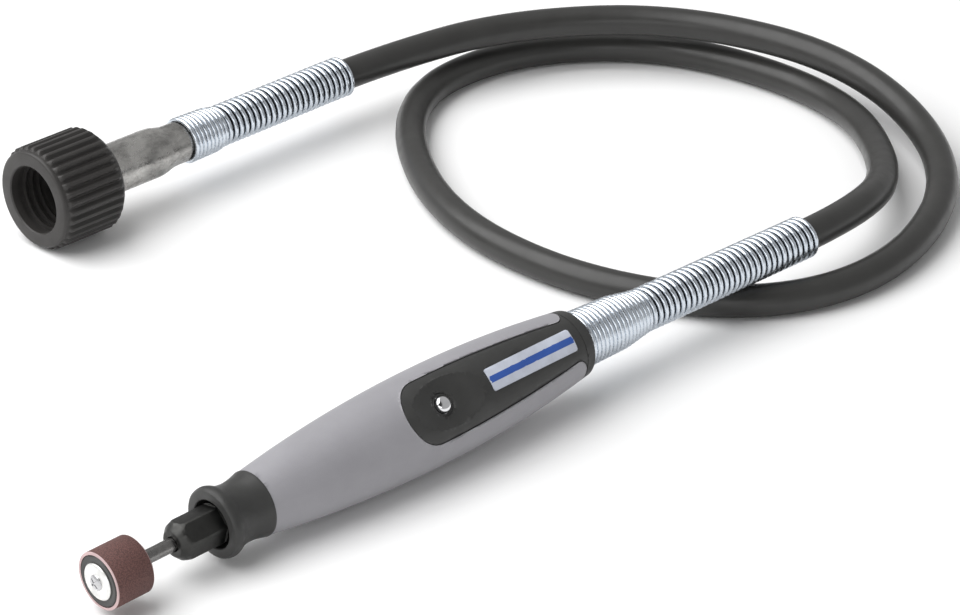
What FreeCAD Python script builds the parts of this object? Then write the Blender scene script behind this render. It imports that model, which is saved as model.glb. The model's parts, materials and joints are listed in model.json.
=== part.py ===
import FreeCAD, Part
import math
import os

# Rotary tool handpiece on a flexible drive shaft, millimetres, +Z up.
# +X runs along the handpiece from the sanding drum to the guard spring, and the
# origin is on the floor, midway along the handpiece.
#
# Handpiece pieces are drawn about the X axis at their station: the distance from
# the drum's front face.  Drive-end pieces are drawn about the X axis at their
# distance from the coupling nut's front face.  Both are then put in place.

# ---- places -----------------------------------------------------------------
TILT = 1.8              # the handpiece's tail is up by this many degrees
HAND_X = -106.05        # place of station 0; its height, HAND_Z, is worked out below
PIN_TURN = 47.0         # the lock pin is turned this far from straight up, to -Y
GUARD_ROOT = 143.0      # station that the rear guard spring leans and sags from
GUARD_LEAN = 1.5        # its mouth is turned this far to -Y, in degrees
GUARD_SAG = 1.1
DRIVE_X = -12.7         # place of the coupling nut's front face
DRIVE_Y = 141.0
DRIVE_Z = 13.2          # the coupling nut lies on the floor
DRIVE_TURN = 0.8        # the drive end's axis is turned this far to +Y, in degrees

# ---- sanding drum -------------------------------------------------------------
BAND_R = 6.6
BAND_FRONT = -0.6
BAND_LENGTH = 9.5
RUBBER_R = 5.9
RUBBER_END = 9.6
WASHER_R = 4.2
SHANK_R = 1.585

# ---- collet and spindle -------------------------------------------------------
NUT_FRONT = 19.2
NUT_END = 33.0
NUT_R = 4.67
NUT_FLATS = 8.3
SPINDLE_R = 3.5
SHOULDER_R = 4.2
NECK_R = 2.8
SPINDLE_FRONT = 24.0
COLLET_R = 2.5
FIT = 0.05              # radial play of a running fit

# ---- bearings -----------------------------------------------------------------
BEARING_R = 5.5
BEARING_WIDTH = 3.0
FRONT_BEARING = 46.0
REAR_BEARING = 112.0
BALL_R = 0.75
BALL_COUNT = 9
BALL_RING_R = 4.5

# ---- handle -------------------------------------------------------------------
# It swells along one arc from its front to its belly and narrows along another.
COLLAR_FRONT = 29.9
HANDLE_FRONT = 41.7
FRONT_R = 7.5
BELLY = 92.0
BELLY_R = 11.25
HANDLE_END = 137.0
TAIL_R = 8.15
TAIL_ROUND = 0.8
GRIP_END = 133.8
GRIP_THICK = 1.2
CAVITY_R = 4.6
WINDOW_CENTRE = 87.0
WINDOW_R = 7.7

# ---- lock pin -----------------------------------------------------------------
PIN_STATION = 90.9
PIN_TRAVEL = 1.8
PIN_HEAD_R = 1.95
PIN_SHAFT_R = 1.2
PIN_FLANGE_R = 2.6
DISH_FLOOR = 8.9        # distance of the thumb dish's floor from the axis
DISH_HALF = 10.9        # half of its length along the handle
DISH_CENTRE = 92.0

# ---- guard springs, as ringed sleeves -----------------------------------------
WIRE = 1.25
# Close turns go from radius r0 to r1, cone turns on to open_r, and the rest are open.
REAR_GUARD = dict(start=137.3, end=214.0, closed=10, cone=6, close_pitch=1.26, r0=6.9, r1=6.55,
                  open_r=5.35, pitch=1.75, bore=4.3, boss=5.0, boss_end=150.0)
DRIVE_GUARD = dict(start=46.6, end=102.8, closed=7, cone=2, close_pitch=1.3, r0=6.15, r1=5.95,
                   open_r=5.4, pitch=1.83, bore=4.3, boss=4.85, boss_end=57.4)

# ---- coupling nut and drive end -----------------------------------------------
COUPLING_R = 13.2
COUPLING_LENGTH = 20.0
COUPLING_BORE_R = 8.4
COUPLING_RIBS = 34
FERRULE_R = 6.3
FERRULE_WAIST_R = 5.3
FERRULE_NECK_R = 4.8

# ---- flexible shaft -----------------------------------------------------------
SHEATH_R = 4.0
LINER_R = 2.4
LINER_BORE_R = 1.85
CORE_R = 1.6
ARC_SHARE = 0.45
# Corner points of the sheath's run, from inside the rear guard to the ferrule.
ROUTE = [
    (37.4, 0.0, 13.0),
    (78.0, -1.0, 13.55),
    (126.0, -2.0, 13.8),
    (158.0, 14.5, 8.0),
    (188.0, 57.0, 4.0),
    (181.0, 111.0, 4.0),
    (146.0, 140.0, 4.0),
    (102.5, 135.5, 4.0),
    (66.0, 84.0, 4.0),
    (64.0, 32.0, 4.0),
    (87.0, -8.0, 4.0),
    (128.0, -16.0, 4.0),
    (176.0, 8.0, 5.0),
    (193.5, 56.0, 12.5),
    (178.5, 106.0, 14.3),
    (142.0, 136.0, 13.9),
    (101.0, 142.8, 13.5),
    (59.0, 142.0, 13.2),
    (15.4, 141.39, 13.2),
]

# Radius of the arc from the handle's front to its belly, and the height of
# station 0 that rests this arc's lowest spot on the floor.
FRONT_BOW = (((BELLY - HANDLE_FRONT) ** 2 + (BELLY_R - FRONT_R) ** 2)
             / (2 * (BELLY_R - FRONT_R)))
HAND_Z = (FRONT_BOW - (FRONT_BOW - BELLY_R) * math.cos(math.radians(TILT))
          - BELLY * math.sin(math.radians(TILT)))

X_AXIS = FreeCAD.Vector(1, 0, 0)
Y_AXIS = FreeCAD.Vector(0, 1, 0)
Z_AXIS = FreeCAD.Vector(0, 0, 1)
ORIGIN = FreeCAD.Vector(0, 0, 0)


# ---- helpers ------------------------------------------------------------------
def point(x, r):
    """A point of an outline that is revolved about the X axis."""
    return FreeCAD.Vector(x, 0, r)


def revolve(corners):
    """Turn a closed outline of (x, r) corners about the X axis."""
    loop = [point(x, r) for x, r in corners]
    face = Part.Face(Part.makePolygon(loop + [loop[0]]))
    return face.revolve(ORIGIN, X_AXIS, 360)


def revolve_edges(edges):
    """Turn a closed loop of edges about the X axis."""
    loop = Part.Wire(Part.sortEdges(edges)[0])
    return Part.Face(loop).revolve(ORIGIN, X_AXIS, 360)


def line(a, b):
    return Part.LineSegment(point(*a), point(*b)).toShape()


def arc(a, middle, b):
    return Part.Arc(point(*a), point(*middle), point(*b)).toShape()


def rod(x0, x1, radius):
    """A round bar along X."""
    return Part.makeCylinder(radius, x1 - x0, point(x0, 0), X_AXIS)


def tube(x0, x1, outer, inner):
    return rod(x0, x1, outer).cut(rod(x0 - 1, x1 + 1, inner))


def post(x, z0, z1, radius):
    """A round post along Z, as the lock pin's pieces are before they are turned."""
    return Part.makeCylinder(radius, z1 - z0, FreeCAD.Vector(x, 0, z0), Z_AXIS)


def bar(x0, x1, width, height):
    """A box along X, centred on the axis."""
    return Part.makeBox(x1 - x0, width, height, FreeCAD.Vector(x0, -width / 2, -height / 2))


def joined(*shapes):
    whole = shapes[0]
    for shape in shapes[1:]:
        whole = whole.fuse(shape)
    return whole.removeSplitter()


def save(shape, node):
    solids = shape.Solids
    assert solids and all(s.isClosed() and s.isValid() for s in solids), node
    kept = solids[0] if len(solids) == 1 else Part.makeCompound(solids)
    kept.exportStep("parts/" + node + ".step")
    box = kept.BoundBox
    print("%-22s solids %2d  volume %9.2f  x %.2f..%.2f  z %.2f..%.2f"
          % (node, len(solids), kept.Volume, box.XMin, box.XMax, box.ZMin, box.ZMax))
    return kept


def on_hand(shape, node):
    """Put a handpiece part at its place, and save it."""
    placed = shape.copy()
    placed.rotate(ORIGIN, X_AXIS, PIN_TURN)
    placed.rotate(ORIGIN, Y_AXIS, -TILT)
    placed.translate(FreeCAD.Vector(HAND_X, 0, HAND_Z))
    return save(placed, node)


def on_tail(shape, node):
    """Put the rear guard spring at its place, leaning and sagging from its root."""
    root = FreeCAD.Vector(GUARD_ROOT, 0, 0)
    placed = shape.copy()
    placed.rotate(root, Z_AXIS, -GUARD_LEAN)
    placed.rotate(root, Y_AXIS, GUARD_SAG)
    placed.rotate(ORIGIN, Y_AXIS, -TILT)
    placed.translate(FreeCAD.Vector(HAND_X, 0, HAND_Z))
    return save(placed, node)


def on_drive(shape, node):
    """Put a drive-end part at its place, and save it."""
    placed = shape.copy()
    placed.rotate(ORIGIN, Z_AXIS, DRIVE_TURN)
    placed.translate(FreeCAD.Vector(DRIVE_X, DRIVE_Y, DRIVE_Z))
    return save(placed, node)


# ---- sanding drum -------------------------------------------------------------
def sanding_band():
    return tube(BAND_FRONT, BAND_FRONT + BAND_LENGTH, BAND_R, RUBBER_R)


def rubber_drum():
    drum = revolve([(-0.75, 0.01), (-0.75, RUBBER_R - 0.4), (-0.35, RUBBER_R),
                    (RUBBER_END - 0.5, RUBBER_R), (RUBBER_END, RUBBER_R - 0.5),
                    (RUBBER_END, 0.01)])
    return drum.cut(rod(-1, RUBBER_END + 1, 1.5))


def drum_washer():
    disc = revolve([(-0.75, 0.01), (-0.75, WASHER_R), (-1.0, WASHER_R),
                    (-1.2, WASHER_R - 0.4), (-1.2, 0.01)])
    return disc.cut(rod(-2, 1, 1.1))


def drum_screw():
    head = revolve([(-1.2, 0.01), (-1.2, 1.75), (-1.5, 1.7), (-1.8, 1.2), (-1.85, 0.01)])
    screw = joined(head, rod(-1.2, 4.0, 0.95))
    for width, height in ((2.4, 0.4), (0.4, 2.4)):
        screw = screw.cut(bar(-1.9, -1.5, width, height))
    return screw


def drum_mandrel():
    shank = joined(rod(-0.75, RUBBER_END, 1.5), rod(RUBBER_END, 11.0, 3.3),
                   rod(11.0, 36.0, SHANK_R))
    return shank.cut(rod(-1, 5.0, 1.0))


# ---- collet and spindle -------------------------------------------------------
def collet():
    """A split collet with a coned nose, four slots deep from the front."""
    body = revolve([(20.7, 0.01), (20.7, 1.78), (23.6, COLLET_R - 0.02), (36.0, COLLET_R - 0.02),
                    (36.0, 0.01)])
    body = body.cut(rod(15, 40, SHANK_R + 0.015))
    for width, height in ((0.35, 8), (8, 0.35)):
        body = body.cut(bar(20.0, 30.0, width, height))
    return body


def collet_nut():
    """Black collet nut: coned nose, six flats and a threaded bore."""
    outside = revolve([(NUT_FRONT, 0.01), (NUT_FRONT, 3.0), (20.5, 4.2), (21.9, NUT_R),
                       (NUT_END - 0.4, NUT_R), (NUT_END, NUT_R - 0.4), (NUT_END, 0.01)])
    flat = NUT_FLATS / 2
    flats = Part.Face(Part.makePolygon([
        FreeCAD.Vector(21.1, flat / math.cos(math.pi / 6) * math.cos(math.radians(60 * i)),
                       flat / math.cos(math.pi / 6) * math.sin(math.radians(60 * i)))
        for i in range(7)])).extrude(X_AXIS * 9.4)
    nose = rod(NUT_FRONT - 1, 21.1, 10)
    back = rod(30.5, NUT_END + 1, 10)
    body = outside.common(joined(nose, flats, back))
    body = body.cut(rod(15, 40, 1.75))
    body = body.cut(revolve([(20.2, 0.0), (20.2, 1.75), (23.4, 2.6), (23.4, 0.0)]))
    return body.cut(rod(23.4, 40, SPINDLE_R + FIT))


def spindle():
    """Hollow front for the collet, shoulders at the bearings, neck at the lock pin."""
    rear_face = REAR_BEARING + BEARING_WIDTH
    shaft = revolve([(SPINDLE_FRONT, 0.01), (SPINDLE_FRONT, SPINDLE_R - 0.3),
                     (SPINDLE_FRONT + 0.3, SPINDLE_R),
                     (FRONT_BEARING + BEARING_WIDTH, SPINDLE_R),
                     (FRONT_BEARING + BEARING_WIDTH, 3.95), (60.0, SHOULDER_R),
                     (PIN_STATION - 5.5, SHOULDER_R), (PIN_STATION - 4.1, NECK_R),
                     (PIN_STATION + 4.1, NECK_R), (PIN_STATION + 5.5, SHOULDER_R),
                     (108.0, SHOULDER_R), (REAR_BEARING, 3.95), (REAR_BEARING, SPINDLE_R),
                     (rear_face + 0.5, SPINDLE_R), (rear_face + 0.5, 3.0), (124.0, 3.0),
                     (124.0, 0.01)])
    shaft = shaft.cut(rod(0, 37.0, COLLET_R + 0.03))
    shaft = shaft.cut(bar(116.0, 130.0, 2.7, 2.7))
    cross_hole = Part.makeCylinder(PIN_SHAFT_R + 0.1, 20,
                                   FreeCAD.Vector(PIN_STATION, 0, -10), Z_AXIS)
    return shaft.cut(cross_hole)


def core_tip():
    """Square end of the flexible core, crimped on it and slid into the spindle."""
    square = bar(117.0, 124.5, 2.5, 2.5)
    return joined(square, rod(124.5, 131.0, 2.2)).cut(rod(125.2, 140.0, CORE_R + FIT))


# ---- ball bearings ------------------------------------------------------------
def race(start, inner, outer):
    """A bearing ring with its groove for the balls."""
    groove = Part.makeTorus(BALL_RING_R, BALL_R + FIT, point(start + BEARING_WIDTH / 2, 0), X_AXIS)
    return tube(start, start + BEARING_WIDTH, outer, inner).cut(groove)


def balls(start):
    middle = start + BEARING_WIDTH / 2
    group = []
    for i in range(BALL_COUNT):
        a = 2 * math.pi * i / BALL_COUNT
        centre = FreeCAD.Vector(middle, BALL_RING_R * math.sin(a), BALL_RING_R * math.cos(a))
        group.append(Part.makeSphere(BALL_R, centre))
    return Part.makeCompound(group)


# ---- handle -------------------------------------------------------------------
def swell(end, end_r, inset):
    """The arc from the handle's belly, level there, to one of its ends."""
    run, drop = end - BELLY, BELLY_R - end_r
    bow = (run ** 2 + drop ** 2) / (2 * drop)
    middle = BELLY_R - bow + math.sqrt(bow ** 2 - (run / 2) ** 2)
    return arc((BELLY, BELLY_R - inset), (BELLY + run / 2, middle - inset), (end, end_r - inset))


def handle_form(inset, x0=HANDLE_FRONT, x1=HANDLE_END):
    """The swelling handle as a solid, its surface moved in by inset."""
    shoulder, r = HANDLE_END - TAIL_ROUND, TAIL_R - inset
    nip = TAIL_ROUND * math.sin(math.pi / 4)
    corner = (HANDLE_END, r - TAIL_ROUND)
    rounding = arc((shoulder, r), (shoulder + nip, r - TAIL_ROUND + nip), corner)
    front = (HANDLE_FRONT, FRONT_R - inset)
    form = revolve_edges([swell(HANDLE_FRONT, FRONT_R, inset), swell(shoulder, TAIL_R, inset),
                          rounding, line(corner, (HANDLE_END, 0)),
                          line((HANDLE_END, 0), (HANDLE_FRONT, 0)), line((HANDLE_FRONT, 0), front)])
    return form.common(rod(x0, x1, 20))


def window(inset):
    """Outline of the black panel, extruded away from the axis."""
    r = WINDOW_R - inset
    front = WINDOW_CENTRE
    tip = GRIP_END + inset

    def at(x, y):
        return FreeCAD.Vector(x, y, 0)

    def side(sign):
        flank = Part.Arc(at(front + 2, sign * r), at(111, sign * (6.9 - inset)),
                         at(130.2, sign * (5.2 - inset))).toShape()
        corner = Part.Arc(at(130.2, sign * (5.2 - inset)), at(tip - 1.2, sign * (5.75 - inset)),
                          at(tip, sign * (8.1 - inset))).toShape()
        return [Part.LineSegment(at(front, sign * r), at(front + 2, sign * r)).toShape(), flank,
                corner, Part.LineSegment(at(tip, sign * (8.1 - inset)), at(tip, sign * 12)).toShape(),
                Part.LineSegment(at(tip, sign * 12), at(150, sign * 12)).toShape()]

    nose = Part.Arc(at(front, -r), at(front - r, 0), at(front, r)).toShape()
    back = Part.LineSegment(at(150, -12), at(150, 12)).toShape()
    edges = Part.sortEdges([nose, back] + side(1) + side(-1))[0]
    return Part.Face(Part.Wire(edges)).extrude(Z_AXIS * 15)


def thumb_dish():
    """A ball that scoops the dish round the lock pin."""
    depth = BELLY_R - DISH_FLOOR
    radius = (DISH_HALF ** 2 + depth ** 2) / (2 * depth)
    return Part.makeSphere(radius, FreeCAD.Vector(DISH_CENTRE, 0, DISH_FLOOR + radius))


def label_bed(grow, low, high):
    """The label's curved slab: low and high are depths from the handle's surface."""
    slab = handle_form(low).cut(handle_form(high))
    outline = Part.makeBox(27.4 + 2 * grow, 5.4 + 2 * grow, 15,
                           FreeCAD.Vector(103.8 - grow, -2.7 - grow, 0))
    upright = [e for e in outline.Edges if abs(e.tangentAt(e.FirstParameter).z) > 0.9]
    return slab.common(outline.makeFillet(0.6, upright))


def handle_core():
    """Black housing: liner under the grip, panel, tail ring, cavity and pin bore."""
    core = handle_form(GRIP_THICK)
    core = joined(core, handle_form(0.1).common(window(0.2)), handle_form(0, GRIP_END + 0.2))
    core = core.cut(rod(40, FRONT_BEARING + BEARING_WIDTH, BEARING_R))
    core = core.cut(rod(40, 120, CAVITY_R))
    core = core.cut(rod(REAR_BEARING, 150, BEARING_R))
    core = core.cut(thumb_dish())
    core = core.cut(post(PIN_STATION, 5.4, 12, PIN_FLANGE_R + 0.1))
    core = core.cut(post(PIN_STATION, 0, 12, PIN_SHAFT_R + FIT))
    return core.cut(label_bed(0.05, -1.0, 0.35))


def grip_sleeve():
    """Grey soft grip over the housing, open at the panel."""
    skin = handle_form(0, HANDLE_FRONT, GRIP_END).cut(handle_form(GRIP_THICK))
    return skin.cut(window(0))


def label_plate():
    return label_bed(0, -0.1, 0.35)


def nose_collar():
    """Black waisted collar with a recess for the collet nut and a spigot behind."""
    front = COLLAR_FRONT
    collar = revolve_edges([
        line((front, 5.6), (front, 6.6)),
        arc((front, 6.6), (front + 0.8, 7.75), (front + 2.2, 8.2)),
        arc((front + 2.2, 8.2), (front + 3.5, 8.0), (front + 4.8, 7.4)),
        arc((front + 4.8, 7.4), (37.9, 6.95), (HANDLE_FRONT, 7.5)),
        line((HANDLE_FRONT, 7.5), (HANDLE_FRONT, BEARING_R)),
        line((HANDLE_FRONT, BEARING_R), (FRONT_BEARING, BEARING_R)),
        line((FRONT_BEARING, BEARING_R), (FRONT_BEARING, 4.95)),
        line((FRONT_BEARING, 4.95), (38.0, 4.95)),
        line((38.0, 4.95), (38.0, 3.9)),
        line((38.0, 3.9), (36.0, 3.9)),
        line((36.0, 3.9), (36.0, 5.6)),
        line((36.0, 5.6), (front, 5.6)),
    ])
    return collar


# ---- lock pin -----------------------------------------------------------------
def lock_pin():
    """Pin with a domed head, a flange that keeps it in, and a tip near the spindle."""
    dome = Part.makeSphere(3.4, FreeCAD.Vector(PIN_STATION, 0, 10.5 - 3.4))
    head = post(PIN_STATION, 8.3, 10.5, PIN_HEAD_R).common(dome)
    return joined(post(PIN_STATION, 4.9, 7.8, PIN_SHAFT_R),
                  post(PIN_STATION, 7.8, 8.3, PIN_FLANGE_R), head)


def lock_pin_bezel():
    """Ring pressed in flush with the dish, holding the pin's flange down."""
    ring = post(PIN_STATION, 8.35, 8.95, PIN_FLANGE_R + 0.1)
    return ring.cut(post(PIN_STATION, 0, 12, PIN_HEAD_R + 0.1))


def lock_pin_spring():
    """Coil spring round the pin, from the housing's ledge to the flange: ringed sleeve."""
    wire, low, high, turns, outer = 0.3, 5.45, 7.75, 4, 2.0
    pitch = (high - low - wire) / (turns - 1)
    edges = []
    previous = None
    for i in range(turns):
        z = low + wire / 2 + i * pitch
        start, end = (z - wire / 2, outer - 0.12), (z + wire / 2, outer - 0.12)
        if previous is not None:
            edges.append(line(previous, start))
        edges.append(arc(start, (z, outer), end))
        previous = end
    corners = [previous, (high, outer - wire), (low, outer - wire), (low, outer - 0.12)]
    edges += [line(a, b) for a, b in zip(corners, corners[1:])]
    sleeve = revolve_edges(edges)
    sleeve.rotate(ORIGIN, Y_AXIS, -90)
    sleeve.translate(FreeCAD.Vector(PIN_STATION, 0, 0))
    return sleeve


# ---- guard springs ------------------------------------------------------------
def ring_centres(guard):
    """Places and outer radii of a guard spring's turns, close-wound ones first."""
    turns = []
    close = guard["closed"] + guard["cone"]
    for i in range(close):
        share = min(1, i / (guard["closed"] - 1))
        narrowed = max(0, i - guard["closed"] + 1) / (guard["cone"] + 1)
        turns.append((guard["start"] + WIRE / 2 + i * guard["close_pitch"],
                      guard["r0"] + share * (guard["r1"] - guard["r0"])
                      - narrowed * (guard["r1"] - guard["open_r"])))
    first_open = turns[-1][0] + guard["close_pitch"]
    count = int((guard["end"] - WIRE / 2 - first_open) / guard["pitch"])
    last = guard["end"] - WIRE / 2
    pitch = (last - first_open) / count
    for i in range(count + 1):
        turns.append((first_open + i * pitch, guard["open_r"]))
    return turns


def guard_spring(guard):
    """A close-fitting sleeve with one rounded ring for each turn of wire."""
    half = WIRE / 2 - 0.03
    edges = []
    turns = ring_centres(guard)
    previous = None
    for x, r in turns:
        left, right = (x - half, r - half), (x + half, r - half)
        if previous is not None:
            edges.append(line(previous, left))
        edges.append(arc(left, (x, r), right))
        previous = right
    step = guard["boss_end"]
    start, end = turns[0][0] - half, turns[-1][0] + half
    inner = [(end, guard["bore"]), (step, guard["bore"]), (step, guard["boss"]),
             (start, guard["boss"])]
    corners = [previous] + inner + [(turns[0][0] - half, turns[0][1] - half)]
    edges += [line(a, b) for a, b in zip(corners, corners[1:])]
    return revolve_edges(edges)


def tail_bush():
    """Steel bush in the handle's tail: the sheath ends in it, the guard sits on it."""
    body = joined(rod(126.0, HANDLE_END, BEARING_R), rod(HANDLE_END, 149.6, 4.7))
    body = body.cut(rod(120, 144.0, 2.6))
    return body.cut(rod(143.5, 160, SHEATH_R + 0.02))


# ---- coupling nut and drive end -----------------------------------------------
def coupling_nut():
    """Black ribbed nut: chamfered front, rounded back, threaded bore and cavity."""
    r, length = COUPLING_R, COUPLING_LENGTH
    round_r = 3.2
    middle = round_r * (1 - math.sqrt(0.5))
    body = revolve_edges([
        line((0, COUPLING_BORE_R + 0.9), (0, r - 1.5)),
        line((0, r - 1.5), (1.4, r)),
        line((1.4, r), (length - round_r, r)),
        arc((length - round_r, r), (length - middle, r - middle), (length, r - round_r)),
        line((length, r - round_r), (length, FERRULE_R + 0.3)),
        line((length, FERRULE_R + 0.3), (13.4, FERRULE_R + 0.3)),
        line((13.4, FERRULE_R + 0.3), (13.4, 8.9)),
        line((13.4, 8.9), (11.0, 8.9)),
        line((11.0, 8.9), (11.0, COUPLING_BORE_R)),
        line((11.0, COUPLING_BORE_R), (0.9, COUPLING_BORE_R)),
        line((0.9, COUPLING_BORE_R), (0, COUPLING_BORE_R + 0.9)),
    ])
    groove_r = 0.55
    grooves = []
    for i in range(COUPLING_RIBS):
        groove = rod(0.55, length - 2.6, groove_r)
        groove.translate(FreeCAD.Vector(0, 0, r + 0.05))
        groove.rotate(ORIGIN, X_AXIS, 360.0 / COUPLING_RIBS * (i + 0.5))
        grooves.append(groove)
    return body.cut(grooves)


def nut_washer():
    return tube(12.9, 13.35, 8.0, FERRULE_R + FIT)


def drive_ferrule():
    """Nickel-plated tube with a flange in the nut and a waisted neck at the guard."""
    tube_end, waist = 38.0, 43.0
    outside = revolve([(11.4, 0.01), (11.4, 7.9), (12.8, 7.9), (12.8, FERRULE_R),
                       (tube_end, FERRULE_R), (waist, FERRULE_WAIST_R),
                       (46.3, FERRULE_WAIST_R), (46.3, FERRULE_NECK_R),
                       (57.0, FERRULE_NECK_R), (57.0, 0.01)])
    outside = outside.cut(rod(0, 22.0, 4.0))
    outside = outside.cut(rod(20, 30, 2.8))
    return outside.cut(rod(28.2, 70, SHEATH_R + 0.02))


def drive_bush():
    return tube(14.8, 22.0, 4.0, 2.5 + FIT)


def drive_tip():
    """The core's driving end: a square that the motor turns, on a round journal."""
    tip = joined(bar(11.4, 14.4, 3.2, 3.2), rod(14.4, 26.0, 2.5))
    return tip.cut(rod(18.9, 40.0, CORE_R + FIT))


# ---- flexible shaft -----------------------------------------------------------
def route_wire(points):
    """Straight runs joined by arcs that touch both, and the arcs' radii."""
    corners = [FreeCAD.Vector(*p) for p in points]
    runs = [(b - a).Length for a, b in zip(corners, corners[1:])]
    edges = []
    radii = []
    here = corners[0]
    for i in range(1, len(corners) - 1):
        back = (corners[i - 1] - corners[i]).normalize()
        ahead = (corners[i + 1] - corners[i]).normalize()
        half_turn = (math.pi - back.getAngle(ahead)) / 2
        reach = ARC_SHARE * min(runs[i - 1], runs[i])
        radius = reach / math.tan(half_turn)
        enter, leave = corners[i] + back * reach, corners[i] + ahead * reach
        inward = (back + ahead).normalize()
        centre = corners[i] + inward * (radius / math.cos(half_turn))
        edges.append(Part.LineSegment(here, enter).toShape())
        edges.append(Part.Arc(enter, centre - inward * radius, leave).toShape())
        radii.append(radius)
        here = leave
    edges.append(Part.LineSegment(here, corners[-1]).toShape())
    return Part.Wire(edges), radii


def along_route(points, outer, inner=None):
    """Sweep a round section, or a round section with a bore, along the run."""
    wire, _ = route_wire(points)
    start = FreeCAD.Vector(*points[0])
    ahead = (FreeCAD.Vector(*points[1]) - start).normalize()
    solid = wire.makePipeShell([Part.Wire(Part.Circle(start, ahead, outer).toShape())], True, False)
    area = math.pi * outer ** 2
    if inner:
        hole = wire.makePipeShell([Part.Wire(Part.Circle(start, ahead, inner).toShape())], True, False)
        solid = solid.cut(hole)
        area -= math.pi * inner ** 2
    print("swept volume %.1f, section times length %.1f" % (solid.Volume, area * wire.Length))
    return solid


def core_run():
    """The sheath's run, drawn out along the handle's axis and the nut's axis."""
    tilt, turn = math.radians(TILT), math.radians(DRIVE_TURN)
    first, last = ROUTE[0], ROUTE[-1]
    front = (first[0] - 18.0 * math.cos(tilt), first[1], first[2] - 18.0 * math.sin(tilt))
    back = (last[0] - 9.0 * math.cos(turn), last[1] - 9.0 * math.sin(turn), last[2])
    return [front] + ROUTE[:-1] + [back]


def main():
    os.makedirs("parts", exist_ok=True)

    on_hand(sanding_band(), "sanding_band")
    on_hand(rubber_drum(), "rubber_drum")
    on_hand(drum_washer(), "drum_washer")
    on_hand(drum_screw(), "drum_screw")
    on_hand(drum_mandrel(), "drum_mandrel")
    on_hand(collet(), "collet")
    on_hand(collet_nut(), "collet_nut")
    on_hand(spindle(), "spindle")
    on_hand(core_tip(), "core_tip")
    for end, start in (("front", FRONT_BEARING), ("rear", REAR_BEARING)):
        on_hand(race(start, SPINDLE_R, 4.05), end + "_bearing_inner")
        on_hand(race(start, 4.95, BEARING_R), end + "_bearing_outer")
        on_hand(balls(start), end + "_bearing_balls")
    on_hand(nose_collar(), "nose_collar")
    on_hand(handle_core(), "handle_core")
    on_hand(grip_sleeve(), "grip_sleeve")
    on_hand(label_plate(), "label_plate")
    on_hand(lock_pin(), "lock_pin")
    on_hand(lock_pin_bezel(), "lock_pin_bezel")
    on_hand(lock_pin_spring(), "lock_pin_spring")
    on_hand(tail_bush(), "tail_bush")
    on_tail(guard_spring(REAR_GUARD), "rear_guard_spring")

    on_drive(coupling_nut(), "coupling_nut")
    on_drive(nut_washer(), "nut_washer")
    on_drive(drive_ferrule(), "drive_ferrule")
    on_drive(drive_bush(), "drive_bush")
    on_drive(drive_tip(), "drive_tip")
    on_drive(guard_spring(DRIVE_GUARD), "drive_guard_spring")

    wire, radii = route_wire(ROUTE)
    print("sheath length %.1f, tightest arc %.1f" % (wire.Length, min(radii)))
    print("arc radii", [round(r, 1) for r in radii])
    save(along_route(ROUTE, SHEATH_R, LINER_R), "flex_sheath")
    save(along_route(ROUTE, LINER_R, LINER_BORE_R), "sheath_liner")
    save(along_route(core_run(), CORE_R), "flex_core")


main()
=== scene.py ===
import json
import math

import bpy
from bpy.props import FloatProperty, FloatVectorProperty, IntProperty, PointerProperty
from mathutils import Matrix, Vector


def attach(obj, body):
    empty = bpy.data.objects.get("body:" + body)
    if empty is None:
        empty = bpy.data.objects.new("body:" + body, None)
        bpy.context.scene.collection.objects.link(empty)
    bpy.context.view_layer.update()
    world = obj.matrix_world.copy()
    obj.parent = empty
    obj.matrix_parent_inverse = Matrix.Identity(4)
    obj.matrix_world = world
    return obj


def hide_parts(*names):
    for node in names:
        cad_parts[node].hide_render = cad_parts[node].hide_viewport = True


bl_info = {
    "name": "Flex Shaft Handpiece",
    "version": (1, 0, 0),
    "blender": (4, 5, 0),
    "location": "View3D > Sidebar > Flex Shaft",
    "description": "Builds a rotary tool handpiece on its flexible drive shaft",
    "category": "Add Mesh",
}

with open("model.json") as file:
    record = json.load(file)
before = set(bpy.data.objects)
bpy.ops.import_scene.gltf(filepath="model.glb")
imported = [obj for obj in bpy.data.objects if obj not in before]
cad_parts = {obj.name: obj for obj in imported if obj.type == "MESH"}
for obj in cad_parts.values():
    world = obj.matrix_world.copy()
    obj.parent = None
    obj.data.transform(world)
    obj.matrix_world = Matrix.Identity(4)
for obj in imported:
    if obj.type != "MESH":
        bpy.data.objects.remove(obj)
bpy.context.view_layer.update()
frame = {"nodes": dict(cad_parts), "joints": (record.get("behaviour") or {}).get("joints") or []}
JOINTS = {j["name"]: j for j in frame["joints"]}
MM = 0.001

# Stations in millimetres: along the handpiece from the drum's front face, and along
# the drive end from the coupling nut's front face.
SPIN_STATION = 60.0
PIN_STATION = 90.9
REAR_GUARD = (137.3, 214.0)
NUT_SPIN_STATION = 9.1
DRIVE_GUARD = (46.6, 102.8)

# The guard springs' turns: points in each, and the pitch of the close and the open ones
# in thicknesses of the wire.
WIRE_STEPS = 24
CLOSE_PITCH = 1.02
OPEN_PITCH = 1.42

CAMERA_PLACE = (-0.5418, -0.56897, 0.4511)
CAMERA_HEADING = math.radians(43.716)
CAMERA_FALL = math.radians(28.0)
DIM_PATCH = (-0.434, -0.453, 0.778)     # towards the darker patch of the sky

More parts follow.
